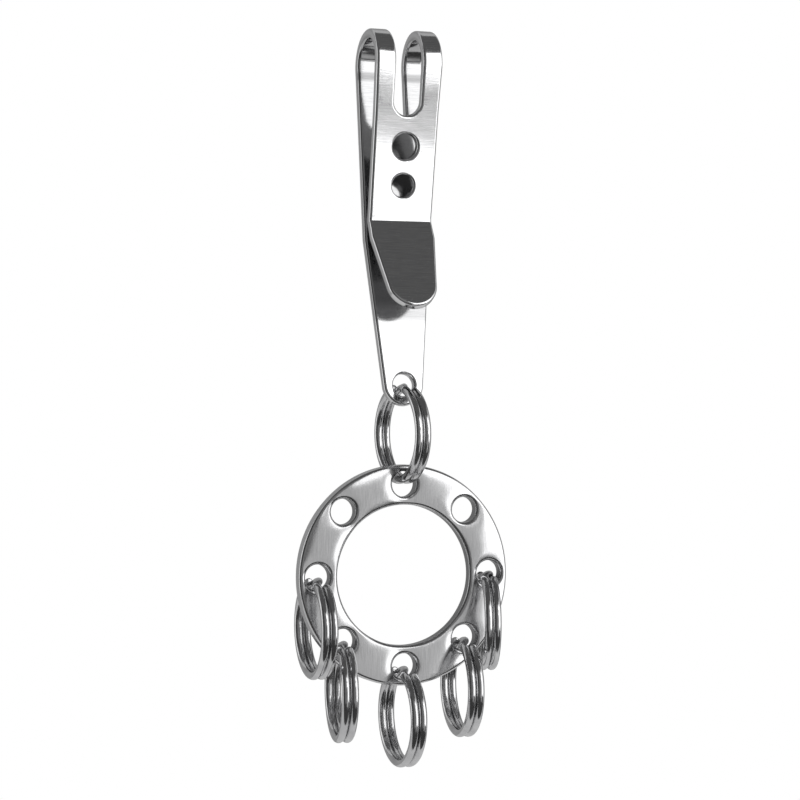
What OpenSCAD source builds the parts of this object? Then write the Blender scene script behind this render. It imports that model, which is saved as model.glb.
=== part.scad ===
// Belt key clip, in millimetres. A bent spring-steel clip carries a link ring,
// the link ring carries a round key plate, and five key rings hang in the plate.
// The part hangs by its loops: +Z is up, the front faces -Y, and the origin is
// the seat inside the top of the loops, where a belt or a hem lies.

/* [Clip strip] */
// Thickness of the steel strip
strip_t = 1.8; // [1.4:0.1:2]
// Width of the strip over the loops
strip_w = 12.7; // [11.5:0.1:14]
// Width of the front leg at the crease
crease_w = 12.2; // [11:0.1:13.5]
// Thinning of the strip on each face where it bends
bend_thin = 0.01; // [0.01:0.01:0.03]

/* [Loops] */
// Inner radius of the two loops
loop_inner_r = 4.3; // [3.8:0.1:5]
// Width of the slot between the loops
slot_w = 5.2; // [4:0.1:6]
// Length of the slot down the front leg
front_slot_l = 8.9; // [6:0.1:10]
// Length of the slot down the back leg
back_slot_l = 11.5; // [6:0.1:14]

/* [Back leg] */
// Forward lean of the back leg, in degrees
back_lean = 7; // [4:0.5:9]
// Distance down the back leg from the loops to its taper
taper_drop = 31.4; // [20:0.1:40]
// Distance down the back leg from the loops to the tip hole
tip_drop = 57.6; // [52:0.1:70]
// Radius of the rounded tip
tip_r = 3.75; // [3.4:0.05:4.5]
// Diameter of the tip hole, which the link ring passes through
tip_hole_d = 4; // [3.8:0.1:4.6]

/* [Front leg] */
// Distance down the back leg from the loops to the crease
crease_drop = 28.1; // [25:0.1:34]
// Gap between the two legs at the crease, where cloth is pinched
leg_gap = 0.25; // [0.15:0.05:0.6]
// Radius of the crease, at the middle of the strip
crease_r = 2; // [1.6:0.1:3]
// Diameter of the upper front hole
upper_hole_d = 4.7; // [3.5:0.1:5.5]
// Distance of the upper front hole above the crease
upper_hole_rise = 12.8; // [12:0.1:13.5]
// Diameter of the lower front hole
lower_hole_d = 4; // [3:0.1:4.5]
// Distance of the lower front hole above the crease
lower_hole_rise = 5.8; // [4.5:0.1:7]

/* [Tongue] */
// Forward lean of the tongue, in degrees
tongue_lean = 28; // [15:1:35]
// Length of the tongue below the crease
tongue_l = 17.2; // [12:0.1:22]
// Length of the tongue's straight shoulders
shoulder_l = 3; // [1:0.1:5]
// Radius of the tongue's rounded end
tongue_end_r = 4.65; // [4:0.05:5.5]

/* [Key plate] */
// Outside diameter of the plate
plate_d = 39.5; // [37:0.5:44]
// Thickness of the plate
plate_t = 3.2; // [2.4:0.1:3.4]
// Number of ring holes; the photographed plate has eight
hole_count = 8; // [8:8:8]
// Diameter of the ring holes
hole_d = 4.6; // [4.4:0.1:4.9]
// Wall between the ring holes and the plate's rim
rim_wall = 1.15; // [0.9:0.05:1.6]
// Wall between the ring holes and the plate's central opening
inner_wall = 1.2; // [0.9:0.05:3]
// Break of the plate's edges
plate_break = 0.45; // [0.2:0.05:0.55]

/* [Split rings] */
// Outside diameter of every split ring
ring_d = 18; // [17:0.1:19]
// Thickness of the ring wire, across the ring
wire_r_t = 1.5; // [1.2:0.05:1.6]
// Thickness of the ring wire, along the ring's axis
wire_a_t = 1.3; // [1:0.05:1.3]
// Break of the wire's edges
wire_break = 0.35; // [0.1:0.05:0.4]
// Gap between the two turns of a split ring
turn_gap = 0.42; // [0.41:0.01:0.45]
// Sweep of the jog between the two turns, in degrees
jog_sweep = 30; // [26:2:40]
// Sweep by which each wire end stops short of the jog, in degrees
end_sweep = 3; // [3:0.5:6]

/* [Fits] */
// Clearance under a ring where it rests in its hole
seat_clear = 0.2; // [0.15:0.05:0.3]

/* [Hidden] */
$fn = 96;
steel = [0.76, 0.77, 0.79];
bright_steel = [0.68, 0.69, 0.72];
// One overrun serves every cut that leaves through a face
overrun = 1;
// Sweep by which a bend sinks into the flat stretches beside it, in degrees
bend_sink = 2;

// Places in the side view are [y, z], with the front at -y
loop_mid_r = loop_inner_r + strip_t / 2 - bend_thin;
bend_t = strip_t - 2 * bend_thin;
finger_w = (strip_w - slot_w) / 2;
loop_at = [0, -loop_inner_r];
function lean_down(a) = [sin(a), -cos(a)];
function lean_back(a) = [cos(a), sin(a)];
back_top = loop_at + loop_mid_r * lean_back(-back_lean);
crease_reach = crease_r + strip_t + leg_gap;
crease_at = back_top + crease_drop * lean_down(-back_lean) - crease_reach * lean_back(-back_lean);
// The front leg is the straight line that touches the loop and the crease
crease_span = crease_at - loop_at;
touch_r = loop_mid_r + crease_r;
front_lean = atan2(crease_span[0], -crease_span[1]) + asin(touch_r / norm(crease_span));
front_l = sqrt(pow(norm(crease_span), 2) - pow(touch_r, 2));
front_top = loop_at - loop_mid_r * lean_back(front_lean);
tongue_top = crease_at + crease_r * lean_back(-tongue_lean);
tip_at = back_top + tip_drop * lean_down(-back_lean);

// Split ring sizes
wire_mid_r = (ring_d - wire_r_t) / 2;
ring_inner_r = ring_d / 2 - wire_r_t;
turn_pitch = wire_a_t + turn_gap;
pair_w = turn_pitch + wire_a_t;
jog_steps = 12;
// The jog is thinner than the turns by this much on each face, and its ends sink into them
jog_thin = wire_break / 20;

// Depth below a hole's centre at which a turned and tilted pair of wires rests
function half_reach(w, long, turn) = w / 2 / cos(turn) + long / 2 * tan(abs(turn));
function chord_depth(r, x) = sqrt(pow(r, 2) - pow(x, 2));
function seat_depth(d, long, turn, tilt) =
    min(
        chord_depth(d / 2, half_reach(pair_w, long, turn)) + wire_break,
        chord_depth(d / 2, half_reach(pair_w - 2 * wire_break, long, turn))
    ) - (ring_inner_r - chord_depth(ring_inner_r, long / 2)) - long / 2 * tan(tilt) - seat_clear;
function ring_drop(d, long, turn, tilt) = seat_depth(d, long, turn, tilt) + ring_inner_r;

// The ring holes lie on a circle between the plate's two walls
hole_circle_d = plate_d - 2 * rim_wall - hole_d;
opening_d = hole_circle_d - hole_d - 2 * inner_wall;

// The link ring hangs in the tip hole, and the plate hangs on the link ring
link_turn = 6;
link_at = [0, tip_at[0], tip_at[1] - ring_drop(tip_hole_d, strip_t, link_turn, back_lean)];
plate_drop = ring_drop(hole_d, plate_t, link_turn, 0) + hole_circle_d / 2;
plate_at = link_at - [0, 0, plate_drop];
function hole_at(a) = plate_at + hole_circle_d / 2 * [sin(a), 0, cos(a)];

// A strip end that narrows from its shoulders to a round tip. The taper aims just inside the
// round, by a share of its radius, so that the two meet at an angle and not at a touch.
taper_share = 0.995;
module tapered_end(w, shoulder, drop, r) {
    aim = taper_share * r;
    reach = norm([w / 2, drop - shoulder]);
    slant = acos(aim / reach) - atan2(drop - shoulder, w / 2);
    touch = [aim * cos(slant), -drop - aim * sin(slant)];
    polygon([
        [-w / 2, 0], [-w / 2, -shoulder], [-touch[0], touch[1]],
        touch, [w / 2, -shoulder], [w / 2, 0]
    ]);
    translate([0, -drop]) circle(r);
}

module slot_end(l) {
    translate([-slot_w / 2, slot_w / 2 - l]) square([slot_w, l - slot_w / 2 + overrun]);
    translate([0, slot_w / 2 - l]) circle(d = slot_w);
}

// A flat stretch of strip, drawn from its top edge down, that leans by an angle
module flat_leg(top, lean) {
    translate([0, top[0], top[1]])
        rotate([90 + lean, 0, 0])
            linear_extrude(strip_t, center = true) children();
}

// A bend of the strip round the X axis, which sinks into the flats at both of its ends
module bend(at, from, sweep) {
    translate([0, at[0], at[1]])
        rotate([0, 90, 0])
            rotate([0, 0, from - bend_sink])
                rotate_extrude(angle = sweep + 2 * bend_sink) children();
}

module back_leg() {
    flat_leg(back_top, -back_lean)
        difference() {
            tapered_end(strip_w, taper_drop, tip_drop, tip_r);
            slot_end(back_slot_l);
            translate([0, -tip_drop]) circle(d = tip_hole_d);
        }
}

module front_leg() {
    flat_leg(front_top, front_lean)
        difference() {
            polygon([
                [-strip_w / 2, 0], [-crease_w / 2, -front_l],
                [crease_w / 2, -front_l], [strip_w / 2, 0]
            ]);
            slot_end(front_slot_l);
            translate([0, upper_hole_rise - front_l]) circle(d = upper_hole_d);
            translate([0, lower_hole_rise - front_l]) circle(d = lower_hole_d);
        }
}

module loops() {
    bend(loop_at, 90 - back_lean, 180 + back_lean + front_lean)
        for (low = [-strip_w / 2, slot_w / 2])
            translate([loop_inner_r, low + bend_thin]) square([bend_t, finger_w - 2 * bend_thin]);
}

module crease() {
    bend(crease_at, 90 - tongue_lean, tongue_lean + front_lean)
        translate([crease_r, 0]) square([bend_t, crease_w - 2 * bend_thin], center = true);
}

module tongue() {
    flat_leg(tongue_top, -tongue_lean)
        tapered_end(crease_w, shoulder_l, tongue_l - tongue_end_r, tongue_end_r);
}

module suspension_clip() {
    color(steel) {
        back_leg();
        loops();
        front_leg();
        crease();
        tongue();
    }
}

// Half of a section with broken corners, mirrored by the caller's sizes
function broken_square(a, b, c) = [
    [-a / 2, c - b / 2], [c - a / 2, -b / 2], [a / 2 - c, -b / 2], [a / 2, c - b / 2],
    [a / 2, b / 2 - c], [a / 2 - c, b / 2], [c - a / 2, b / 2], [-a / 2, b / 2 - c]
];

module ring_plate() {
    web = (plate_d - opening_d) / 2;
    color(steel)
        translate(plate_at)
            rotate([90, 0, 0])
                difference() {
                    rotate_extrude()
                        translate([opening_d / 2 + web / 2, 0])
                            polygon(broken_square(web, plate_t, plate_break));
                    for (k = [0 : hole_count - 1])
                        rotate(k * 360 / hole_count)
                            translate([0, hole_circle_d / 2, 0]) broken_hole();
                }
}

// A ring hole through the plate, with both of its edges broken
module broken_hole() {
    cylinder(d = hole_d, h = plate_t + 2 * overrun, center = true);
    for (side = [0, 180])
        rotate([side, 0, 0])
            translate([0, 0, plate_t / 2 - plate_break])
                cylinder(d1 = hole_d, d2 = hole_d + 4 * plate_break, h = 2 * plate_break);
}

// The wire's place along its winding: w is the wound angle, and the jog's middle is at 360
wire_start = jog_sweep / 2 + end_sweep;
wire_end = 720 - wire_start;
function jog_share(w) = min(max((w - 360) / jog_sweep + 0.5, 0), 1);
function smooth(s) = 3 * pow(s, 2) - 2 * pow(s, 3);
function turn_at(w) = turn_pitch * (smooth(jog_share(w)) - 0.5);
wire_section = broken_square(wire_r_t, wire_a_t, wire_break);
jog_section = broken_square(wire_r_t - 2 * jog_thin, wire_a_t - 2 * jog_thin, wire_break);
function wire_station(w, section = wire_section) = [
    for (p = section)
        [(wire_mid_r + p[0]) * cos(w), (wire_mid_r + p[0]) * sin(w), turn_at(w) + p[1]]
];

// The least gap between the two turns, measured on points of the wire's surface
gap_step = 4;
turn_gaps = [
    for (w = [wire_start : gap_step : 360 + jog_sweep / 2])
        for (v = [w + 360 - 3 * gap_step : gap_step : w + 360 + 3 * gap_step])
            if (v <= wire_end)
                for (p = wire_station(w))
                    for (q = wire_station(v)) norm(p - q)
];
jog_gaps = [
    for (w = [360 - jog_sweep / 2 : gap_step : 360 + jog_sweep / 2])
        for (p = wire_station(w))
            for (v = [wire_start, wire_end])
                for (q = wire_station(v)) norm(p - q)
];
echo(least_turn_gap = min(turn_gaps), least_end_gap = min(jog_gaps));

module wire_turn(from, to) {
    rotate([0, 0, from])
        rotate_extrude(angle = to - from)
            translate([wire_mid_r, turn_at(from)]) polygon(wire_section);
}

// The short slanted stretch that carries the wire from one turn to the other
module wire_jog() {
    count = len(jog_section);
    stations = [for (k = [-0.5 : jog_steps + 0.5]) 360 + jog_sweep * (k / jog_steps - 0.5)];
    points = [for (w = stations) each wire_station(w, jog_section)];
    sides = [
        for (k = [0 : jog_steps])
            for (i = [0 : count - 1])
                let (j = (i + 1) % count, a = k * count)
                    each [[a + i, a + j, a + count + i], [a + j, a + count + j, a + count + i]]
    ];
    first = [for (i = [count - 1 : -1 : 0]) i];
    last = [for (i = [0 : count - 1]) (jog_steps + 1) * count + i];
    polyhedron(points, concat([first], sides, [last]));
}

// One wire in two turns round the X axis. The jog angle is counted from the bottom and goes up
// the back, so that each jog lies high up behind the plate or behind the clip's tip.
module split_ring(at, turn, jog) {
    color(bright_steel)
        translate(at)
            rotate([0, 0, turn])
                rotate([0, 90, 0])
                    rotate([0, 0, jog]) {
                        wire_turn(wire_start, 360 - jog_sweep / 2);
                        wire_jog();
                        wire_turn(360 + jog_sweep / 2, wire_end);
                    }
}

// The clock angle is counted from the top, clockwise as seen from the front
module key_ring(clock, turn, jog) {
    drop = ring_drop(hole_d, plate_t, turn, 0);
    split_ring(hole_at(clock) - [0, 0, drop], turn, jog);
}

module link_ring() { split_ring(link_at, link_turn, 149); }
module key_ring_right() { key_ring(90, -14, 148); }
module key_ring_lower_right() { key_ring(135, -4, 152); }
module key_ring_bottom() { key_ring(180, 0.5, 150); }
module key_ring_lower_left() { key_ring(225, -8, 147); }
module key_ring_left() { key_ring(270, -1, 151); }

suspension_clip();
link_ring();
ring_plate();
key_ring_right();
key_ring_lower_right();
key_ring_bottom();
key_ring_lower_left();
key_ring_left();
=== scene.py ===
from math import acos, atan2, cos, degrees, exp, hypot, pi, radians, sin, tan

import bmesh
import bpy
from mathutils import Matrix, Vector


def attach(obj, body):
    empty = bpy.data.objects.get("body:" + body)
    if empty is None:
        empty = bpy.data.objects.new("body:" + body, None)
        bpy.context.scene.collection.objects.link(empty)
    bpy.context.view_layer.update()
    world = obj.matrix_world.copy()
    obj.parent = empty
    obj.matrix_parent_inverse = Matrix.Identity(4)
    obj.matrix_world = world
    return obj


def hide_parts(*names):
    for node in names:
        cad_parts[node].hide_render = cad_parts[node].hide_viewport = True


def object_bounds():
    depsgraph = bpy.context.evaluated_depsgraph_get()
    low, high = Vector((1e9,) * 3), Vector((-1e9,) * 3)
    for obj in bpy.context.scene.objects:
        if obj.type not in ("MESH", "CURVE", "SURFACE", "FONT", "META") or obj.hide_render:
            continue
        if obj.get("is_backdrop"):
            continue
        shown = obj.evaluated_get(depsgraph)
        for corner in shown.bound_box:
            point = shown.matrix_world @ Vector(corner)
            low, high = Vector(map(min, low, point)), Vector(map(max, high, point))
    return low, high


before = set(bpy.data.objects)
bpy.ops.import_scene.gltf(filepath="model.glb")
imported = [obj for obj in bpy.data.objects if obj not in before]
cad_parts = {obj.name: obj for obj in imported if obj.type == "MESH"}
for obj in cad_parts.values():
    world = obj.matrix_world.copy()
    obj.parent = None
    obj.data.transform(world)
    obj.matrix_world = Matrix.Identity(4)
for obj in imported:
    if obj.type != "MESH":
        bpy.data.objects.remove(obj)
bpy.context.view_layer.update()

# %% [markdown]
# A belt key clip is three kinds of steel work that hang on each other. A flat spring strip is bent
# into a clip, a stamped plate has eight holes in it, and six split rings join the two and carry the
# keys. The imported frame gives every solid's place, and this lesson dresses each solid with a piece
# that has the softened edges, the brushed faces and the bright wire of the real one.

# %% [markdown]
# The camera comes first, because every choice of edge and finish is judged through it. The
# photograph looks at the plate from 20.4 degrees to its left, level with the middle of the whole
# row. A long lens from 0.42 m keeps the upright sides nearly parallel, as they are in the picture.

# %% Camera
yaw = radians(20.4)
view_distance = 0.417
row_middle_z, row_aside = -0.06475, 0.00024
look = Vector((sin(yaw), cos(yaw), 0))
aim = Vector((0, 0, row_middle_z)) + row_aside * Vector((cos(yaw), -sin(yaw), 0))
bpy.ops.object.camera_add(location=aim - view_distance * look, rotation=(radians(90), 0, -yaw))
camera = bpy.context.object
camera.data.lens, camera.data.sensor_width = 104.25, 36
camera.data.clip_start = 0.01
bpy.context.scene.camera = camera
print("camera at", [round(c, 4) for c in camera.location])

# %% [markdown]
# The pieces are a few millimetres thick, and most of Blender's tools are happier with numbers near
# one. So each piece is modelled in millimetres at the origin, and one last step takes it to its
# place and down to metres. Applying that step leaves the object unturned and unscaled.

# %% Helpers for choosing and placing
def deselect():
    bpy.ops.object.select_all(action="DESELECT")


def only(piece):
    deselect()
    piece.select_set(True)
    bpy.context.view_layer.objects.active = piece


def apply_place():
    bpy.ops.object.transform_apply(location=True, rotation=True, scale=True)


def settle(piece, name, place):
    only(piece)
    piece.name = name
    piece.data.name = name
    piece.matrix_world = Matrix.Scale(0.001, 4) @ place
    apply_place()
    corners = [v.co for v in piece.data.vertices]
    size = [1000 * (max(c[i] for c in corners) - min(c[i] for c in corners)) for i in range(3)]
    print(name, "mm:", [round(s, 2) for s in size], "faces:", len(piece.data.polygons))


# %% [markdown]
# In edit mode an operator acts on what is selected, so the next helpers select by place and not by
# hand. A test is written for one vertex, edge or face, and all those that pass it are taken.

# %% Helpers for edit mode
def start_edit(piece):
    only(piece)
    bpy.ops.object.mode_set(mode="EDIT")
    bpy.ops.mesh.select_all(action="SELECT")


def end_edit():
    bpy.ops.object.mode_set(mode="OBJECT")


def take_all():
    bpy.ops.mesh.select_all(action="SELECT")


def pick(kind, test):
    bpy.ops.mesh.select_mode(type=kind)
    bpy.ops.mesh.select_all(action="DESELECT")
    mesh = bpy.context.edit_object.data
    shape = bmesh.from_edit_mesh(mesh)
    parts = {"VERT": shape.verts, "EDGE": shape.edges, "FACE": shape.faces}[kind]
    for part in parts:
        part.select = test(part)
    shape.select_flush_mode()
    bmesh.update_edit_mesh(mesh)
    return sum(part.select for part in parts)


def middle(part):
    return sum((v.co for v in part.verts), Vector()) / len(part.verts)


def merge_and_face_out(threshold):
    take_all()
    bpy.ops.mesh.remove_doubles(threshold=threshold)
    bpy.ops.mesh.normals_make_consistent(inside=False)


# %% [markdown]
# Three modifiers come back on several pieces: a bevel that softens sharp edges, a boolean that
# punches holes, and a weighting of the normals that keeps a broad face even beside a soft edge.

# %% Helpers that add a modifier and apply it
def apply_all(piece):
    only(piece)
    for modifier in list(piece.modifiers):
        bpy.ops.object.modifier_apply(modifier=modifier.name)


def soften(piece, width, segments, sharper_than, clamp=True):
    soft = piece.modifiers.new("soft", "BEVEL")
    soft.width, soft.segments = width, segments
    soft.limit_method, soft.angle_limit = "ANGLE", radians(sharper_than)
    soft.use_clamp_overlap = clamp
    apply_all(piece)


def cut(piece, tools):
    deselect()
    for tool in tools:
        tool.select_set(True)
    bpy.context.view_layer.objects.active = tools[0]
    if len(tools) > 1:
        bpy.ops.object.join()
    die = bpy.context.object
    work = piece.modifiers.new("cut", "BOOLEAN")
    work.operation, work.solver, work.object = "DIFFERENCE", "EXACT", die
    apply_all(piece)
    bpy.data.objects.remove(die)


def shade_evenly(piece):
    only(piece)
    bpy.ops.object.shade_smooth()
    even = piece.modifiers.new("even", "WEIGHTED_NORMAL")
    even.mode, even.weight = "FACE_AREA_WITH_ANGLE", 60
    apply_all(piece)


# %% [markdown]
# The clip is one strip of spring steel, 12.7 mm wide and 1.8 mm thick. A shop stamps it flat and
# bends it afterwards. The same order is the easy one here, because rounded ends, a slot, holes and
# soft edges are simple on a flat blank and hard on a bent one. The blank lies on its edge: X runs
# along the strip from the tip, Y is the thickness and Z the width.

# %% Lengths along the clip's blank
strip_w, strip_t = 12.7, 1.8
back_l, shoulder_l, tip_r, tip_hole_r = 61.35, 31.4, 3.75, 2.0
tongue_l, tongue_shoulder_l, tongue_r = 17.2, 3, 4.65
back_lean, tongue_lean = radians(7), radians(28)
loop_r, crease_r = 5.19, 2.0
loop_at = Vector((0, -4.3))
crease_at = Vector((-2.29303, -32.3295))
span = crease_at - loop_at
front_l = (span.length_squared - (loop_r + crease_r) ** 2) ** 0.5
front_lean = atan2(span.x, -span.y) + atan2(loop_r + crease_r, front_l)
loop_l = loop_r * (pi + back_lean + front_lean)
crease_l = crease_r * (tongue_lean + front_lean)
loop_start, front_start = back_l, back_l + loop_l
crease_start = front_start + front_l
tongue_start = crease_start + crease_l
blank_l = tongue_start + tongue_l
print("front leg leans", round(degrees(front_lean), 3), "degrees")
print("blank is", round(blank_l, 2), "mm long")

# %% [markdown]
# A bar the size of the blank is cut across where its width changes, and each cut line is narrowed.
# The two ends are then rounded by a wide bevel on their four corner edges. The bevel's reach is a
# hair under the half width of the end, so both arcs all but meet and the end becomes one round.

# %% Half widths of the blank, by place
tongue_half_w = 6.1


def end_half_width(half_w, taper_l, r):
    slant = acos(r / hypot(half_w, taper_l)) - atan2(taper_l, half_w)
    return r * tan(pi / 4 - slant / 2)


tip_half = end_half_width(strip_w / 2, back_l - tip_r - shoulder_l, tip_r)
tongue_half = end_half_width(tongue_half_w, tongue_l - tongue_r - tongue_shoulder_l, tongue_r)
half_widths = {
    0: tip_half,
    back_l - shoulder_l: 6.25,
    loop_start: 6.3,
    loop_start + 0.5 * loop_l: 6.05,
    front_start: 6.25,
    front_start + 8: 6.05,
    crease_start: 5.95,
    tongue_start: 5.97,
    tongue_start + tongue_shoulder_l: 6.02,
    blank_l: tongue_half,
}
print("half widths:", {round(x, 1): round(half, 2) for x, half in half_widths.items()})

# %% Bar, tapers and round ends
bar_size = (blank_l, strip_t, strip_w)
all_but = 0.9995
deselect()
bpy.ops.mesh.primitive_cube_add(size=1, location=(blank_l / 2, 0, 0), scale=bar_size)
blank = bpy.context.object
apply_place()
start_edit(blank)
for x in list(half_widths)[1:-1]:
    take_all()
    bpy.ops.mesh.bisect(plane_co=(x, 0, 0), plane_no=(1, 0, 0))
for x, half in half_widths.items():
    pick("VERT", lambda v: abs(v.co.x - x) < 0.01)
    bpy.ops.transform.resize(value=(1, 1, half / (strip_w / 2)), center_override=(x, 0, 0))
for x in (0, blank_l):
    pick("EDGE", lambda e: all(abs(v.co.x - x) < 0.01 for v in e.verts) and abs(middle(e).y) < 0.01)
    bpy.ops.mesh.bevel(
        offset=all_but * half_widths[x], offset_type="OFFSET", segments=28, affect="EDGES",
        clamp_overlap=True,
    )
end_edit()
print("bar with its ends:", len(blank.data.polygons), "faces")

# %% [markdown]
# The slot and the three holes are punched with one set of tools, joined so that a single boolean
# cuts them all. A slot punch is a round bar with one half pulled away along the strip.

# %% Punches for the slot and the three holes
slot_w, slot_down_back, slot_down_front = 5.2, 11.5, 8.9
front_holes = {12.8: 2.35, 5.8: 2.0}


def punch(x, r, stretch=0):
    deselect()
    bpy.ops.mesh.primitive_cylinder_add(
        vertices=66, radius=r, depth=6, rotation=(radians(90), 0, 0)
    )
    tool = bpy.context.object
    apply_place()
    if stretch:
        start_edit(tool)
        pick("VERT", lambda v: v.co.x > 1e-4)
        bpy.ops.transform.translate(value=(stretch, 0, 0))
        end_edit()
    tool.location.x = x
    apply_place()
    return tool


slot_from = back_l - slot_down_back + slot_w / 2
slot_to = front_start + slot_down_front - slot_w / 2
tools = [punch(tip_r, tip_hole_r), punch(slot_from, slot_w / 2, slot_to - slot_from)]
tools += [punch(crease_start - above_crease, r) for above_crease, r in front_holes.items()]
cut(blank, tools)
print("punched blank:", len(blank.data.polygons), "faces")

# %% [markdown]
# Tumbling takes the sharp burr off every edge of the real strip, and that soft edge carries the
# bright and dark lines round it. A bevel of 0.5 mm does this while the blank is flat. Then the
# blank is cut across every 3 degrees where it will bend, and its flat place is kept on each vertex,
# so that the brushing can run with the strip after the bends.

# %% Soft edges, cuts for the bends, and the flat place
loop_cuts, crease_cuts = 66, 14
soften(blank, 0.5, 5, sharper_than=40, clamp=False)
start_edit(blank)
bends = [loop_start + loop_l * k / loop_cuts for k in range(loop_cuts + 1)]
bends += [crease_start + crease_l * k / crease_cuts for k in range(crease_cuts + 1)]
for x in bends:
    take_all()
    bpy.ops.mesh.bisect(plane_co=(x, 0, 0), plane_no=(1, 0, 0))
merge_and_face_out(0.002)
end_edit()
flat_place = blank.data.attributes.new("flat_place", "FLOAT_VECTOR", "POINT")
for v in blank.data.vertices:
    flat_place.data[v.index].vector = v.co
print("blank ready to bend:", len(blank.data.polygons), "faces")

# %% [markdown]
# A Curve modifier bends the blank along the clip's middle line, drawn in the side view: up the back
# leg, over the loop, down the front leg, through the crease and out along the tongue. The line has
# a point every fifth of a millimetre, because the modifier rounds a path between uneven points.

# %% Middle line of the clip
def middle_line(x):
    back_top = loop_at + loop_r * Vector((cos(back_lean), -sin(back_lean)))
    front_top = loop_at - loop_r * Vector((cos(front_lean), sin(front_lean)))
    tongue_top = crease_at + crease_r * Vector((cos(tongue_lean), -sin(tongue_lean)))
    if x < loop_start:
        return back_top + (loop_start - x) * Vector((-sin(back_lean), -cos(back_lean)))
    if x < front_start:
        turn = (x - loop_start) / loop_r - back_lean
        return loop_at + loop_r * Vector((cos(turn), sin(turn)))
    if x < crease_start:
        return front_top + (x - front_start) * Vector((sin(front_lean), -cos(front_lean)))
    if x < tongue_start:
        turn = front_lean - (x - crease_start) / crease_r
        return crease_at + crease_r * Vector((cos(turn), sin(turn)))
    return tongue_top + (x - tongue_start) * Vector((-sin(tongue_lean), -cos(tongue_lean)))


line_steps = 640
line = bpy.data.curves.new("middle_line", "CURVE")
line.dimensions, line.twist_mode = "3D", "Z_UP"
path = line.splines.new("POLY")
path.points.add(line_steps)
for k, point in enumerate(path.points):
    place = middle_line(blank_l * k / line_steps)
    point.co = (place.x, place.y, 0, 1)
line_object = bpy.data.objects.new("middle_line", line)
bpy.context.collection.objects.link(line_object)
print("middle line:", len(path.points), "points")

# %% Bending
bend = blank.modifiers.new("bend", "CURVE")
bend.object, bend.deform_axis = line_object, "POS_X"
apply_all(blank)
bpy.data.objects.remove(line_object)
shade_evenly(blank)
clip = blank
upright = Matrix(((0, 0, 1, 0), (1, 0, 0, 0), (0, 1, 0, 0), (0, 0, 0, 1)))
settle(clip, "spring_clip", upright)

# %% [markdown]
# The plate is a ring of 3.2 mm steel with eight holes round it. A filled circle is inset to make
# the opening, in steps that leave closely spaced rings of faces, its middle is taken out, and the
# flat ring that stays is extruded to its thickness. The four long edges, two at the rim and two at
# the opening, then get a round of 0.6 mm.

# %% Plate
plate_at = Vector((0, -1.86836, -96.0716))
plate_r, opening_r, plate_t, edge_r = 19.75, 12.6, 3.2, 0.6
edge_band, bands = 0.9, 17
deselect()
bpy.ops.mesh.primitive_circle_add(
    vertices=240, radius=plate_r, fill_type="NGON", location=(0, 0, -plate_t / 2)
)
plate = bpy.context.object
apply_place()
start_edit(plate)
band = (plate_r - opening_r - 2 * edge_band) / bands
for step in [edge_band] + bands * [band] + [edge_band]:
    bpy.ops.mesh.inset(thickness=step, use_even_offset=True)
bpy.ops.mesh.delete(type="FACE")
take_all()
bpy.ops.mesh.extrude_region_move(TRANSFORM_OT_translate={"value": (0, 0, plate_t)})
take_all()
bpy.ops.mesh.normals_make_consistent(inside=False)
end_edit()


def rim_or_opening(e):
    flat_lie = abs(e.verts[0].co.z - e.verts[1].co.z) < 0.01
    radii = [hypot(*v.co.xy) for v in e.verts]
    on_edge = any(all(abs(r - edge) < 0.01 for r in radii) for edge in (plate_r, opening_r))
    return flat_lie and on_edge


start_edit(plate)
print("rim and opening edges:", pick("EDGE", rim_or_opening))
bpy.ops.mesh.bevel(offset=edge_r, segments=6, affect="EDGES", clamp_overlap=False)
end_edit()
print("plate before its holes:", len(plate.data.polygons), "faces")

# %% [markdown]
# A hole's edges are as round as the rim's, so the punch has that round at both of its ends: its cap
# is pulled out step by step along a quarter circle, and then straight on past the plate. A spin
# copies the punch to eight places, and one boolean cuts all eight holes.

# %% Flared punch and the eight holes
hole_circle_r, hole_r, hole_count = 16.3, 2.3, 8
flared_r, half_t = hole_r + edge_r, plate_t / 2
deselect()
bpy.ops.mesh.primitive_cylinder_add(vertices=72, radius=hole_r, depth=plate_t - 2 * edge_r)
hole_punch = bpy.context.object
start_edit(hole_punch)
turns = [radians(a) for a in range(0, 90, 14)]
steps = [(flared_r - edge_r * cos(a), half_t - edge_r + edge_r * sin(a)) for a in turns]
steps += [(flared_r, half_t + 0.004), (flared_r, half_t + 1)]
for end in (1, -1):
    for (r_from, z_from), (r_to, z_to) in zip(steps, steps[1:]):
        pick("FACE", lambda f: abs(middle(f).z - end * z_from) < 1e-4 and len(f.verts) > 8)
        rise, widen = end * (z_to - z_from), r_to / r_from
        bpy.ops.mesh.extrude_region_move(TRANSFORM_OT_translate={"value": (0, 0, rise)})
        bpy.ops.transform.resize(value=(widen, widen, 1), center_override=(0, 0, end * z_to))
take_all()
bpy.ops.transform.translate(value=(0, hole_circle_r, 0))
bpy.ops.mesh.spin(
    steps=hole_count, dupli=True, angle=2 * pi, center=(0, 0, 0), axis=(0, 0, 1)
)
merge_and_face_out(0.001)
end_edit()
print("punch faces:", len(hole_punch.data.polygons))
cut(plate, [hole_punch])
start_edit(plate)
bpy.ops.mesh.remove_doubles(threshold=0.003)
end_edit()
print("plate with its holes:", len(plate.data.polygons), "faces")

# %% [markdown]
# The press leaves the plate slightly crowned, and rolls its faces over beside the rim, the opening
# and the holes. This soft fall decides where the face mirrors the light, so it is in the mesh: each
# point comes in towards the plate's middle plane by a sum of four falls. A rolled-over edge is
# given by the depth of its fall at the edge and by how far the fall reaches.

# %% Crown and rolled-over edges
hole_turn = 2 * pi / hole_count
crown_r, crown_share = 16.5, 0.0075
rim_roll, opening_roll, hole_roll = (0.13, 0.8), (0.35, 1.2), (0.3, 1.0)


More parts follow.
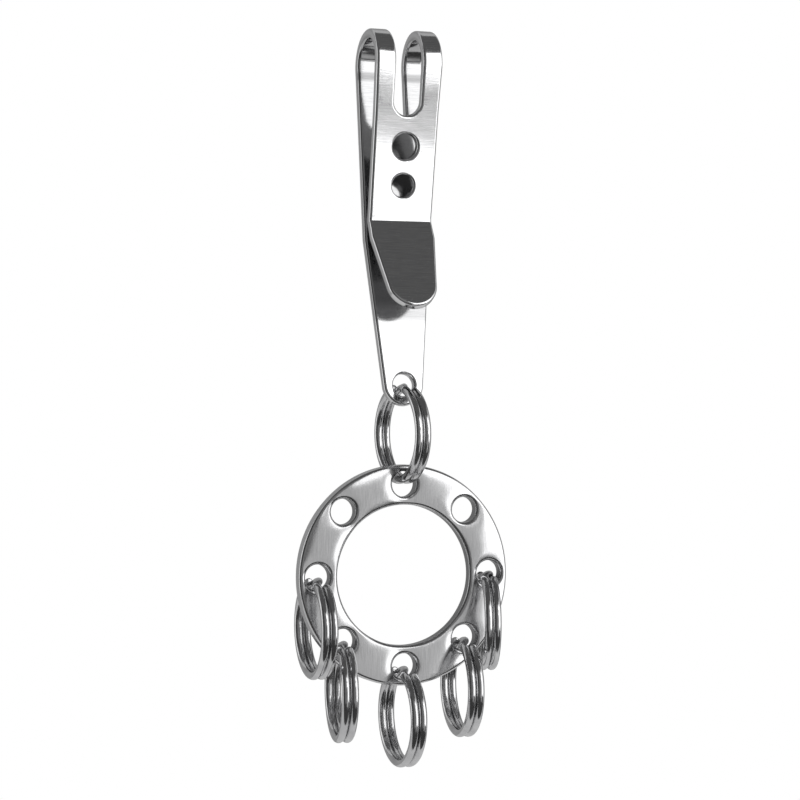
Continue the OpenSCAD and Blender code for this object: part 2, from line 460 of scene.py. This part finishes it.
def rolled(gap, roll):
    depth, reach = roll
    return depth * exp(-gap / reach)


def fall_at(x, y):
    r = hypot(x, y)
    off_hole = (atan2(x, y) + hole_turn / 2) % hole_turn - hole_turn / 2
    to_hole = hypot(r * sin(off_hole), r * cos(off_hole) - hole_circle_r)
    beside_edges = rolled(plate_r - r, rim_roll) + rolled(r - opening_r, opening_roll)
    return crown_share * (r - crown_r) ** 2 + beside_edges + rolled(to_hole - hole_r, hole_roll)


for v in plate.data.vertices:
    v.co.z *= 1 - fall_at(v.co.x, v.co.y) / half_t
print("the face falls by up to", round(fall_at(0, opening_r), 2), "mm at the opening")
shade_evenly(plate)
upright = Matrix.Rotation(radians(90), 4, "X")
settle(plate, "stamped_plate", Matrix.Translation(plate_at) @ upright)

# %% [markdown]
# A split ring is one wire wound twice round, and the two turns lie flat against each other. The
# section is a plane with its corners rounded off. Spin carries it round the first turn, short steps
# take it across to the other side, and a second spin finishes the wire. All six rings are the same,
# so this is done once.

# %% Section of the wire
wire_r_t, wire_a_t, wire_round = 1.5, 1.49, 0.735
ring_r, pitch = 9.0, 1.53
jog_steps, jog_sweep, end_sweep = 12, 30, 3
deselect()
bpy.ops.mesh.primitive_plane_add(size=1)
ring = bpy.context.object
start_edit(ring)
bpy.ops.transform.resize(value=(wire_r_t, wire_a_t, 1), center_override=(0, 0, 0))
bpy.ops.mesh.bevel(offset=wire_round, segments=8, affect="VERTICES", clamp_overlap=True)
bpy.ops.mesh.delete(type="ONLY_FACE")
end_edit()
wire_place = Matrix.Translation((ring_r - wire_r_t / 2, 0, -pitch / 2))
stand = wire_place @ Matrix.Rotation(radians(90), 4, "X")
ring.matrix_world = Matrix.Rotation(radians(jog_sweep / 2 + end_sweep), 4, "Z") @ stand
apply_place()
print("wire's section:", len(ring.data.vertices), "points")

# %% Two turns and the jog between them
turn_steps, turn_sweep = 131, 360 - jog_sweep - end_sweep


def wind(sweep, steps, rise=0):
    bpy.ops.mesh.spin(steps=steps, angle=radians(sweep), center=(0, 0, 0), axis=(0, 0, 1))
    if rise:
        bpy.ops.transform.translate(value=(0, 0, rise))


def smooth(share):
    return 3 * share**2 - 2 * share**3


start_edit(ring)
wind(turn_sweep, turn_steps)
for k in range(jog_steps):
    rise = pitch * (smooth((k + 1) / jog_steps) - smooth(k / jog_steps))
    wind(jog_sweep / jog_steps, 1, rise)
wind(turn_sweep, turn_steps)
take_all()
bpy.ops.mesh.remove_doubles(threshold=0.0005)
bpy.ops.mesh.fill_holes(sides=0)
take_all()
bpy.ops.mesh.normals_make_consistent(inside=False)
end_edit()
soften(ring, 0.12, 2, sharper_than=60)
bpy.ops.object.shade_smooth()
print("wire wound twice round:", len(ring.data.polygons), "faces")

# %% [markdown]
# Each row of the table hangs one ring. It gives the hole that the ring goes through, how far the
# ring's middle hangs below that hole's, how many degrees the ring is turned about the upright, and
# where on the ring the jog sits. The jogs lie near the top and behind, where they hardly show.

# %% Six rings in their places
diagonal = hole_circle_r * sin(radians(45))
key_ring_hangs = {
    "key_ring_3_oclock": (hole_circle_r, 0, 8.6887, -14, 148),
    "key_ring_half_past_4": (diagonal, -diagonal, 9.04179, -4, 152),
    "key_ring_6_oclock": (0, -hole_circle_r, 9.10515, 0.5, 150),
    "key_ring_half_past_7": (-diagonal, -diagonal, 8.95503, -8, 147),
    "key_ring_9_oclock": (-hole_circle_r, 0, 9.09671, -1, 151),
}
join_ring_z = -70.771
ring_places = {"join_ring": (Vector((0, plate_at.y, join_ring_z)), 6, 149)}
for name, (hole_x, hole_z, hang, turn, jog) in key_ring_hangs.items():
    ring_places[name] = (plate_at + Vector((hole_x, 0, hole_z - hang)), turn, jog)
rings = {}
for name, (place, turn, jog) in ring_places.items():
    copy = ring.copy()
    copy.data = ring.data.copy()
    bpy.context.collection.objects.link(copy)
    on_edge = Matrix.Rotation(radians(turn), 4, "Z") @ Matrix.Rotation(radians(90), 4, "Y")
    wound = Matrix.Rotation(radians(jog), 4, "Z")
    settle(copy, name, Matrix.Translation(place) @ on_edge @ wound)
    rings[name] = copy
bpy.data.objects.remove(ring)

# %% [markdown]
# Bare steel takes its whole look from what it mirrors and how finely it is scratched. The three
# finishes are built from the same few parts: a stretched noise, a change of its range, a step of
# arithmetic, a bump, a mix of two tones and a darkening. Each part is a small helper.

# %% Material tools
def new_finish(name, metallic=1.0):
    material = bpy.data.materials.new(name)
    material.use_nodes = True
    nodes = material.node_tree.nodes
    shader = nodes["Principled BSDF"]
    shader.inputs["Metallic"].default_value = metallic
    return material, nodes, material.node_tree.links, shader


def noise(nodes, links, source, stretch, scale, detail=2.0, rough=0.5):
    spread = nodes.new("ShaderNodeMapping")
    spread.inputs["Scale"].default_value = stretch
    grain = nodes.new("ShaderNodeTexNoise")
    grain.inputs["Scale"].default_value = scale
    grain.inputs["Detail"].default_value = detail
    grain.inputs["Roughness"].default_value = rough
    links.new(source, spread.inputs["Vector"])
    links.new(spread.outputs["Vector"], grain.inputs["Vector"])
    return grain.outputs["Fac"]


def remap(nodes, links, source, low, high, from_low=0.3, from_high=0.7):
    spread = nodes.new("ShaderNodeMapRange")
    ends = {"From Min": from_low, "From Max": from_high, "To Min": low, "To Max": high}
    for socket, value in ends.items():
        spread.inputs[socket].default_value = value
    links.new(source, spread.inputs["Value"])
    return spread.outputs["Result"]


def maths(nodes, links, operation, *terms):
    step = nodes.new("ShaderNodeMath")
    step.operation = operation
    for socket, term in zip(step.inputs, terms):
        if isinstance(term, (int, float)):
            socket.default_value = term
        else:
            links.new(term, socket)
    return step.outputs[0]


def raise_by(nodes, links, height, distance, strength=1.0, below=None):
    relief = nodes.new("ShaderNodeBump")
    relief.inputs["Strength"].default_value = strength
    relief.inputs["Distance"].default_value = distance
    links.new(height, relief.inputs["Height"])
    if below is not None:
        links.new(below, relief.inputs["Normal"])
    return relief.outputs["Normal"]


def two_tones(nodes, links, share, low, high):
    tone = nodes.new("ShaderNodeMix")
    tone.data_type = "RGBA"
    tone.inputs[6].default_value = (*low, 1)
    tone.inputs[7].default_value = (*high, 1)
    links.new(remap(nodes, links, share, 0.0, 1.0), tone.inputs[0])
    return tone.outputs[2]


# Multiplies a colour by a darker shade where the share is high; this is how painted shade is laid
# on.
def darkened(nodes, links, colour, share, shade):
    mix = nodes.new("ShaderNodeMix")
    mix.data_type, mix.blend_type = "RGBA", "MULTIPLY"
    links.new(share, mix.inputs[0])
    links.new(colour, mix.inputs[6])
    if isinstance(shade, float):
        mix.inputs[7].default_value = (shade, shade, shade, 1)
    else:
        links.new(shade, mix.inputs[7])
    return mix.outputs[2]


# %% [markdown]
# The clip is brushed across the strip and then tumbled: short, fine lines on a face that isn't
# quite flat. The lines follow the strip round its bends, so they read the flat place. The side that
# ends up inside the fold and the loops is darkened with painted shade, where the legs shade and
# mirror each other. The painted shade changes along the strip, and a few stops on a ramp say where.

# %% Brushed steel of the clip
scratch_m, clip_wave_m = 0.000003, 0.00006
clip_steel, nodes, links, shader = new_finish("clip_steel")
flat = nodes.new("ShaderNodeAttribute")
flat.attribute_name = "flat_place"
along = flat.outputs["Vector"]
brushing = noise(nodes, links, along, (1.0, 1.0, 0.05), 7.0, 4.0, 0.65)
waves = noise(nodes, links, along, (1.0, 1.0, 0.6), 0.16, 0.0)
blotches = noise(nodes, links, along, (1.0, 1.0, 1.0), 0.55, 3.0, 0.6)
tone = two_tones(nodes, links, brushing, (0.7, 0.7, 0.71), (0.88, 0.88, 0.885))
links.new(remap(nodes, links, blotches, 0.1, 0.15), shader.inputs["Roughness"])
wavy = raise_by(nodes, links, waves, clip_wave_m)
links.new(raise_by(nodes, links, brushing, scratch_m, 1.0, wavy), shader.inputs["Normal"])
print("clip_steel:", len(nodes), "nodes")

# %% Painted shade inside the fold and the loops
# Painted shade: each stop's darker base colour stands in for the shade in the fold and the loops.
painted_fold_shades = {
    back_l - 47.0: 1.0, back_l - 45.5: 0.62, back_l - 28: 0.62, back_l - 16: 0.66,
    back_l - 2.4: 0.7, back_l - 1.8: 0.42, back_l - 0.9: 0.42, back_l - 0.4: 0.75,
    loop_start + 3: 0.7, front_start: 0.7, front_start + 9: 0.8,
    crease_start - 4: 0.62, blank_l: 0.62,
}
parts = nodes.new("ShaderNodeSeparateXYZ")
links.new(along, parts.inputs[0])
inside = nodes.new("ShaderNodeValToRGB")
ramp = inside.color_ramp.elements
for x in list(painted_fold_shades)[2:]:
    ramp.new(x / blank_l)
for stop, (x, shade) in zip(ramp, painted_fold_shades.items()):
    stop.position, stop.color = x / blank_l, (shade, shade, shade, 1)
links.new(maths(nodes, links, "DIVIDE", parts.outputs["X"], blank_l), inside.inputs[0])
# The painted shade falls on the inner face of the strip only.
painted_shade_side = remap(nodes, links, parts.outputs["Y"], 0.0, 1.0, 0.0, 0.6)
colour = darkened(nodes, links, tone, painted_shade_side, inside.outputs["Color"])
links.new(colour, shader.inputs["Base Color"])
print("shades along the inside:", len(ramp), "stops")

# %% [markdown]
# The plate is duller than the clip and is ground with upright lines. The walls of the opening and
# of the holes are darker than the face: duller shear-cut steel and painted shade. Object coordinates
# are in metres, so a mapping first brings them to millimetres from the plate's middle.

# %% Ground steel of the plate
plate_wave_m = 0.00005
plate_steel, nodes, links, shader = new_finish("plate_steel")
where = nodes.new("ShaderNodeTexCoord")
centred = nodes.new("ShaderNodeMapping")
centred.inputs["Scale"].default_value = (1000, 1000, 1000)
centred.inputs["Location"].default_value = (0, 0, -plate_at.z)
links.new(where.outputs["Object"], centred.inputs["Vector"])
plate_mm = centred.outputs["Vector"]
brushing = noise(nodes, links, plate_mm, (1.0, 1.0, 0.05), 5.0, 4.0, 0.7)
waves = noise(nodes, links, plate_mm, (1.0, 0.3, 0.7), 0.22, 1.5)
blotches = noise(nodes, links, plate_mm, (1.0, 1.0, 0.5), 0.4, 3.0, 0.6)
tone = two_tones(nodes, links, brushing, (0.66, 0.66, 0.67), (0.8, 0.8, 0.805))
links.new(remap(nodes, links, blotches, 0.14, 0.19), shader.inputs["Roughness"])
wavy = raise_by(nodes, links, waves, plate_wave_m)
links.new(raise_by(nodes, links, brushing, scratch_m, 1.0, wavy), shader.inputs["Normal"])
print("plate_steel:", len(nodes), "nodes")

# %% [markdown]
# How near a point is to a wall follows from its distance to the plate's middle and to the nearest
# hole's. The angle is folded back and forth over half a hole's turn, so that one hole's sum serves
# all eight, and the distance to that hole comes from the law of cosines.

# %% Shear-cut walls of the opening and the holes, darkened with painted shade
def on_plate(operation, *terms):
    return maths(nodes, links, operation, *terms)


parts = nodes.new("ShaderNodeSeparateXYZ")
links.new(plate_mm, parts.inputs[0])
x, z = parts.outputs["X"], parts.outputs["Z"]
r_squared = on_plate("ADD", on_plate("POWER", x, 2.0), on_plate("POWER", z, 2.0))
r = on_plate("SQRT", r_squared)
off_hole = on_plate("COSINE", on_plate("PINGPONG", on_plate("ARCTAN2", x, z), hole_turn / 2))
across = on_plate("MULTIPLY", r, off_hole)
beside = on_plate("MULTIPLY_ADD", across, -2 * hole_circle_r, r_squared)
to_hole = on_plate("SQRT", on_plate("ADD", beside, hole_circle_r**2))
from_opening = on_plate("SUBTRACT", r, opening_r)
from_hole = on_plate("SUBTRACT", to_hole, hole_r)
to_wall = on_plate("MINIMUM", from_opening, from_hole)
# The walls' base colour is darkened: partly the duller shear-cut steel, partly painted shade in the
# opening and the holes.
wall_near, wall_far, wall_shade = 0.005, 0.05, 0.45
sheared_and_shaded = remap(nodes, links, to_wall, 1.0, 0.0, wall_near, wall_far)
links.new(darkened(nodes, links, tone, sheared_and_shaded, wall_shade), shader.inputs["Base Color"])
print("plate_steel with its walls:", len(nodes), "nodes")

# %% [markdown]
# The rings are bright plated wire: nearly a mirror, with faint drawing marks and a few dull spots
# where they rub.

# %% Plated wire of the rings
rub_m = 0.00002
ring_steel, nodes, links, shader = new_finish("ring_steel")
where = nodes.new("ShaderNodeTexCoord").outputs["Object"]
spots = noise(nodes, links, where, (1.0, 1.0, 1.0), 420.0, 3.0, 0.6)
marks = noise(nodes, links, where, (1.0, 1.0, 1.0), 900.0, 2.0, 0.5)
tone = two_tones(nodes, links, spots, (0.62, 0.62, 0.63), (0.76, 0.76, 0.765))
links.new(tone, shader.inputs["Base Color"])
links.new(remap(nodes, links, marks, 0.1, 0.17), shader.inputs["Roughness"])
links.new(raise_by(nodes, links, spots, rub_m, 0.6), shader.inputs["Normal"])
print("ring_steel:", len(nodes), "nodes")

# %% [markdown]
# Each piece now gets its finish, rides on the body that moves it, and takes the place of its solid
# from the frame. The plate hangs in its own body and so does every ring, so each can swing alone.

# %% Pieces, their bodies and the solids they stand for
def dress(piece, finish, body, node):
    piece.data.materials.clear()
    piece.data.materials.append(finish)
    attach(piece, body)
    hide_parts(node)


dress(clip, clip_steel, "clip", "suspension_clip")
dress(plate, plate_steel, "plate", "ring_plate")
ring_bodies = {
    "join_ring": "link_ring",
    "key_ring_3_oclock": "key_ring_right",
    "key_ring_half_past_4": "key_ring_lower_right",
    "key_ring_6_oclock": "key_ring_bottom",
    "key_ring_half_past_7": "key_ring_lower_left",
    "key_ring_9_oclock": "key_ring_left",
}
for name, body in ring_bodies.items():
    dress(rings[name], ring_steel, body, body)
print("dressed:", 2 + len(rings), "pieces")

# %% [markdown]
# The room is what the steel shows. Its background is plain white to the camera and in every
# mirror, and a little dimmer where it only lights the floor.

# %% World
white, floor_light = 1.0, 0.62
scene = bpy.context.scene
scene.view_settings.view_transform = "Standard"
world = scene.world or bpy.data.worlds.new("room")
scene.world = world
world.use_nodes = True
nodes, links = world.node_tree.nodes, world.node_tree.links
nodes.clear()


def background(strength):
    glow = nodes.new("ShaderNodeBackground")
    glow.inputs["Strength"].default_value = strength
    glow.inputs["Color"].default_value = (1, 1, 1, 1)
    return glow.outputs[0]


rays = nodes.new("ShaderNodeLightPath").outputs
seen = maths(nodes, links, "MAXIMUM", rays["Is Camera Ray"], rays["Is Glossy Ray"])
seen = maths(nodes, links, "MAXIMUM", seen, rays["Is Transmission Ray"])
choose = nodes.new("ShaderNodeMixShader")
links.new(seen, choose.inputs[0])
links.new(background(floor_light), choose.inputs[1])
links.new(background(white), choose.inputs[2])
links.new(choose.outputs[0], nodes.new("ShaderNodeOutputWorld").inputs[0])
print("world:", len(nodes), "nodes")

# %% [markdown]
# The floor is a pale disc well below the keys, where the picture's edge leaves it out.

# %% Floor
floor_z = -0.6
deselect()
bpy.ops.mesh.primitive_circle_add(
    vertices=96, radius=2.0, fill_type="NGON", location=(0, 0, floor_z)
)
floor = bpy.context.object
floor.name = "pale_floor"
floor_paint, nodes, links, shader = new_finish("pale_floor", metallic=0.0)
shader.inputs["Roughness"].default_value = 0.9
shader.inputs["Base Color"].default_value = (0.86, 0.86, 0.86, 1)
floor.data.materials.append(floor_paint)
floor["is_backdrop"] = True
print("floor at z", floor_z)

# %% [markdown]
# Cards take parts of the white away, and their edges are the lines that the steel shows. A dark
# ceiling makes the tongue and the tops of the loops dark, a dark apron lies under the white, and
# grey ones stand at the sides and behind. Three small cards close to the clip make the grey bands
# on the fingers and beneath the tongue. The camera sees none of them, and only those three shade
# anything. A standing card is given by its two azimuths from the front, its two elevations, its
# brightness and its distance, all from one point in the clip's lower half.

# %% Card tools
eye_z = -0.05


def card_paint(name, level):
    material = bpy.data.materials.new(name)
    material.use_nodes = True
    nodes, links = material.node_tree.nodes, material.node_tree.links
    nodes.clear()
    out = nodes.new("ShaderNodeOutputMaterial")
    glow = nodes.new("ShaderNodeEmission")
    glow.inputs["Color"].default_value = (1, 1, 1, 1)
    glow.inputs["Strength"].default_value = level
    links.new(glow.outputs[0], out.inputs[0])
    return material


def card(name, place, turn, size, level, shades=False):
    deselect()
    bpy.ops.mesh.primitive_plane_add(size=1, location=place)
    sheet = bpy.context.object
    sheet.name, sheet.rotation_euler, sheet.scale = name, turn, (*size, 1)
    sheet.data.materials.append(card_paint(name, level))
    sheet.visible_camera = sheet.visible_diffuse = False
    sheet.visible_shadow = shades
    sheet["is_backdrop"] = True


def standing_card(name, az_from, az_to, el_from, el_to, level, distance=1.0, shades=False):
    az, half = radians((az_from + az_to) / 2), radians(abs(az_to - az_from) / 2)
    low, high = distance * tan(radians(el_from)), distance * tan(radians(el_to))
    place = Vector((distance * sin(az), -distance * cos(az), eye_z + (low + high) / 2))
    size = (2 * distance * tan(half), high - low)
    card(name, place, (radians(90), 0, az), size, level, shades)


def lying_card(name, y_from, y_to, height, width, level):
    card(name, (0, (y_from + y_to) / 2, height), (0, 0, 0), (width, y_to - y_from), level)


# %% Cards round the room
lying_card("dark_ceiling", -1.1, 0.28, 0.75, 3.0, 0.095)
lying_card("grey_ceiling", 0.28, 0.65, 0.75, 3.0, 0.45)
lying_card("dark_apron", -1.6, -0.14, -0.52, 2.8, 0.05)
standing_card("dark_left", -98, -40, -22, 52, 0.06)
standing_card("dim_left", -40, 12, -22, 52, 0.2)
standing_card("grey_right", 64, 98, -35, 40, 0.55)
standing_card("dark_right", 98, 130, -35, 40, 0.16)
standing_card("grey_back", 130, 232, -35, 17, 0.33)
standing_card("upper_back", 120, 235, 17, 50, 0.3, 1.05)
standing_card("grey_step", -10, 11.5, -14, 6, 0.13, 0.95)

# %% Cards close to the clip
near = 0.15
standing_card("brow_top", 5, 28, 2.7, 5.1, 0.12, near, shades=True)
standing_card("brow", 5, 28, -0.8, 2.7, 0.75, near, shades=True)
standing_card("skirt", 5, 26.5, -43, -8.4, 0.5, near, shades=True)
cards = [sheet for sheet in bpy.data.objects if sheet.type == "MESH" and not sheet.visible_camera]
print("cards:", sorted(sheet.name for sheet in cards))

# %% [markdown]
# One softbox stands at the front right. A mirror sees its soft glow on top of the white behind it,
# and that is what makes the broad highlights of the plate and the fingers.

# %% Light
def softbox(name, az, el_from, el_to, width, radiance, distance=1.1):
    az, low, high = radians(az), distance * tan(radians(el_from)), distance * tan(radians(el_to))
    place = Vector((distance * sin(az), -distance * cos(az), eye_z + (low + high) / 2))
    bpy.ops.object.light_add(type="AREA", location=place, rotation=(radians(90), 0, az))
    lamp = bpy.context.object
    lamp.name = name
    lamp.data.shape = "RECTANGLE"
    lamp.data.size, lamp.data.size_y = width, high - low
    lamp.data.energy = radiance * pi * width * (high - low)
    print(name, "gives", round(lamp.data.energy, 2), "W")


softbox("soft_front_right", 38, -17, 35, 1.05, 0.8)

# %% Box of the dressed part, and the end
dressed_box = [list(corner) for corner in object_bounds()]
dressed_mm = [[round(c * 1000, 2) for c in corner] for corner in dressed_box]
print("box of the dressed part in mm:", dressed_mm)
